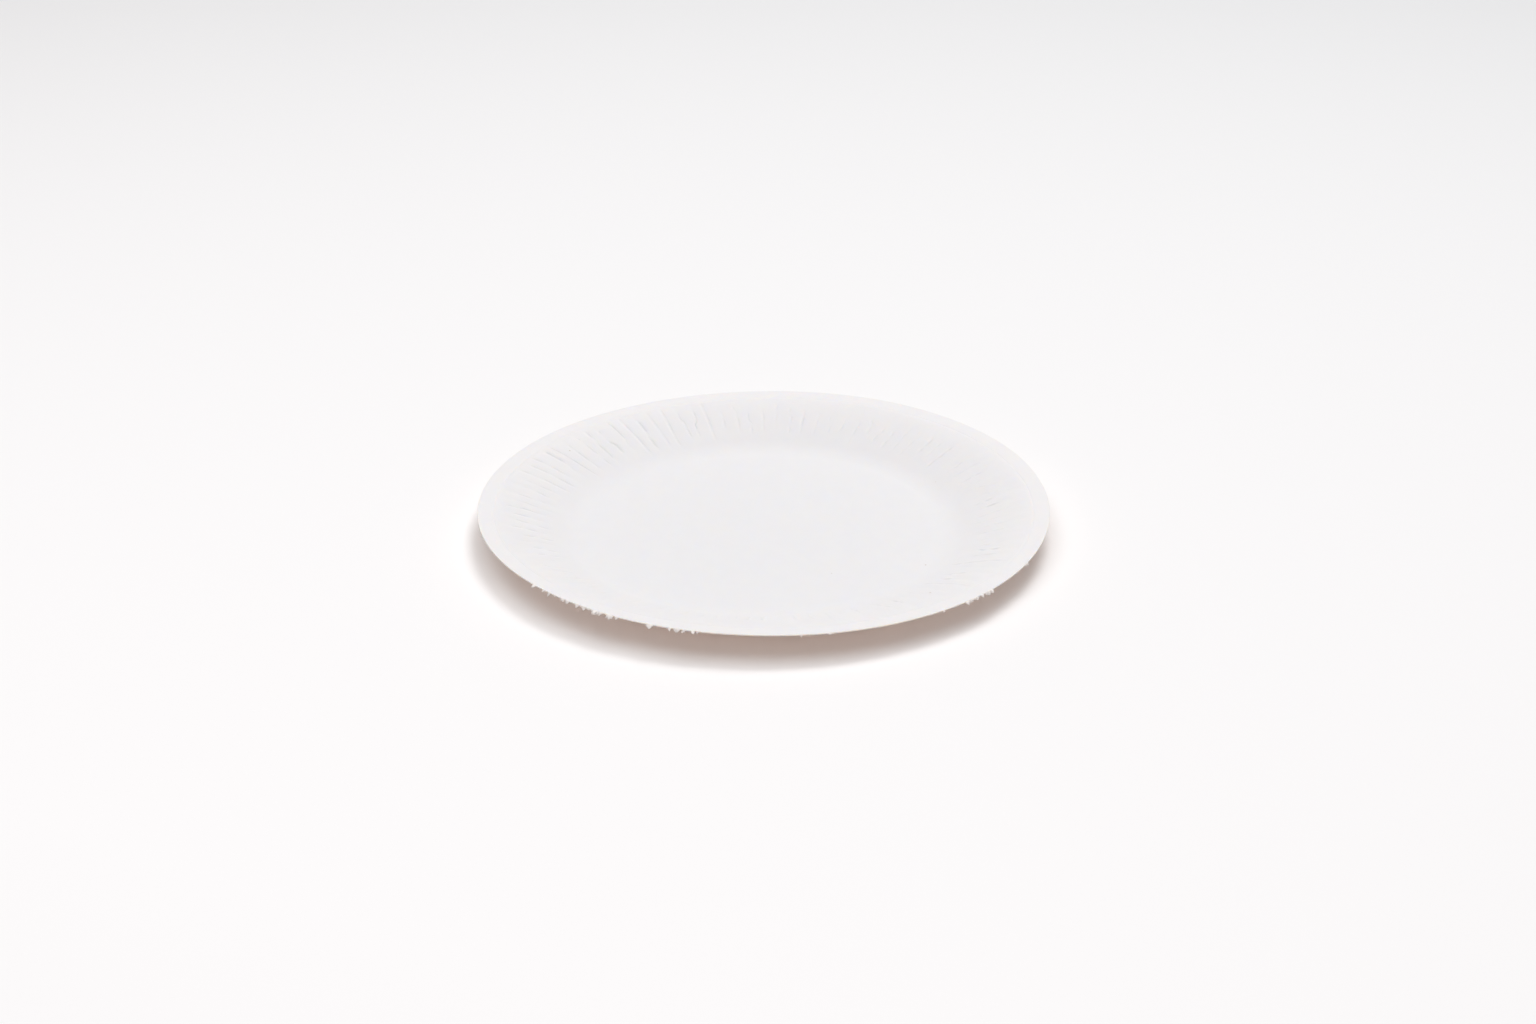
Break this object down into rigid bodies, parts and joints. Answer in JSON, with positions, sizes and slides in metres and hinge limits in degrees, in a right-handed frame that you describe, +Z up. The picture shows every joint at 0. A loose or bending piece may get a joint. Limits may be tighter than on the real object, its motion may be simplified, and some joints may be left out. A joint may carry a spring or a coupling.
{
  "type": "paper plate",
  "caption": "Round pressed paper plate with a flat base, a low sloping wall of fine radial flutes and a narrow smooth rim band with a fibrous cut edge.",
  "frame": {"origin": "centre of the flat underside of the base, on the surface that the plate stands on", "axes": "+Z up, along the axis of the round plate; X and Y lie in the plane of the base"},
  "size_m": [0.23, 0.23, 0.0119],
  "materials": {
    "paper": "uncoated matt white board, faintly fibrous"
  },
  "bodies": {
    "root": {"plate": "paper"}
  },
  "joints": []
}
